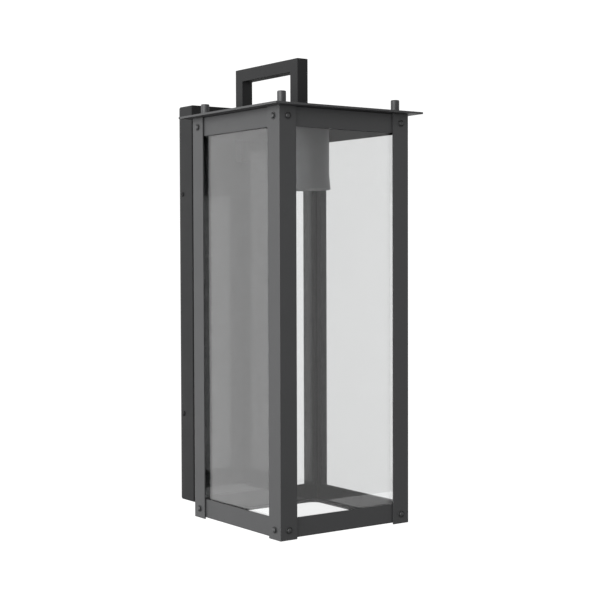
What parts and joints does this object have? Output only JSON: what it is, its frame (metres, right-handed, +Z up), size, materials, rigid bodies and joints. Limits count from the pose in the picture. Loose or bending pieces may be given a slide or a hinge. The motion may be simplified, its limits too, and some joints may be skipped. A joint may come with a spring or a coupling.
{
  "type": "outdoor wall lantern",
  "caption": "Square glazed wall lantern of riveted angle posts, hung from a square arm on a tall wall pan, with a downward lampholder cup and an open base.",
  "frame": {"origin": "centre of the wall pan's back face, on the wall's surface", "axes": "+X to the right seen from in front, +Y into the wall, +Z up"},
  "size_m": [0.178, 0.2215, 0.468],
  "materials": {
    "case_paint": "satin fine-texture powder coat, dark graphite",
    "cup_paint": "satin powder coat, dark graphite",
    "clear_glass": "clear float glass",
    "glazing_tape": "matt black foam tape",
    "gasket_rubber": "matt black rubber",
    "zinc_steel": "bright zinc plate",
    "brass": "bright rolled brass",
    "porcelain": "glazed white porcelain",
    "black_plastic": "moulded nylon",
    "connector_plastic": "ribbed moulded plastic",
    "wire_black": "extruded insulation",
    "wire_white": "extruded insulation",
    "wire_green": "extruded insulation",
    "green_screw": "green dyed zinc"
  },
  "bodies": {
    "lantern": {"post_front_left": "case_paint", "post_front_right": "case_paint", "post_rear_left": "case_paint", "post_rear_right": "case_paint", "bottom_frame": "case_paint", "top_frame": "case_paint", "roof": "case_paint", "pane_front": "clear_glass", "pane_rear": "clear_glass", "pane_left": "clear_glass", "pane_right": "clear_glass", "glazing_front": "glazing_tape", "glazing_rear": "glazing_tape", "glazing_left": "glazing_tape", "glazing_right": "glazing_tape", "corner_rivets": "case_paint", "finial_nuts": "zinc_steel", "hanging_arm": "case_paint", "arm_plug": "zinc_steel", "arm_end_cap": "case_paint", "arm_screws": "zinc_steel", "wire_bushing": "black_plastic", "stem": "zinc_steel", "lock_washer": "zinc_steel", "lock_nut": "zinc_steel", "socket_cup": "cup_paint", "lampholder_bracket": "zinc_steel", "lampholder_body": "porcelain", "bracket_screws": "zinc_steel", "screw_shell": "brass", "contact_spring": "zinc_steel", "terminal_screws": "brass", "wall_pan": "case_paint", "wall_gasket": "gasket_rubber", "wall_bracket": "zinc_steel", "side_screws": "case_paint", "ground_screw": "green_screw", "lead_black": "wire_black", "lead_white": "wire_white", "ground_wire": "wire_green", "wire_connectors": "connector_plastic"},
    "finial_front_left": {"finial_front_left": "case_paint"},
    "finial_front_right": {"finial_front_right": "case_paint"},
    "finial_rear_left": {"finial_rear_left": "case_paint"},
    "finial_rear_right": {"finial_rear_right": "case_paint"},
    "centre_contact": {"centre_contact": "brass"}
  },
  "joints": [
    {"name": "finial_front_left_turn", "type": "hinge", "parent": "lantern", "child": "finial_front_left", "pos_m": [-0.0691, -0.2016, 0.194], "axis": [0, 0, 1], "continuous": true},
    {"name": "finial_front_right_turn", "type": "hinge", "parent": "lantern", "child": "finial_front_right", "pos_m": [0.0691, -0.2016, 0.194], "axis": [0, 0, 1], "continuous": true},
    {"name": "finial_rear_left_turn", "type": "hinge", "parent": "lantern", "child": "finial_rear_left", "pos_m": [-0.0691, -0.0644, 0.194], "axis": [0, 0, 1], "continuous": true},
    {"name": "finial_rear_right_turn", "type": "hinge", "parent": "lantern", "child": "finial_rear_right", "pos_m": [0.0691, -0.0644, 0.194], "axis": [0, 0, 1], "continuous": true},
    {"name": "centre_contact_press", "type": "slide", "parent": "lantern", "child": "centre_contact", "axis": [0, 0, 1], "range_m": [0, 0.0015], "stiffness_N_per_m": 400, "deforming": ["contact_spring"]}
  ]
}
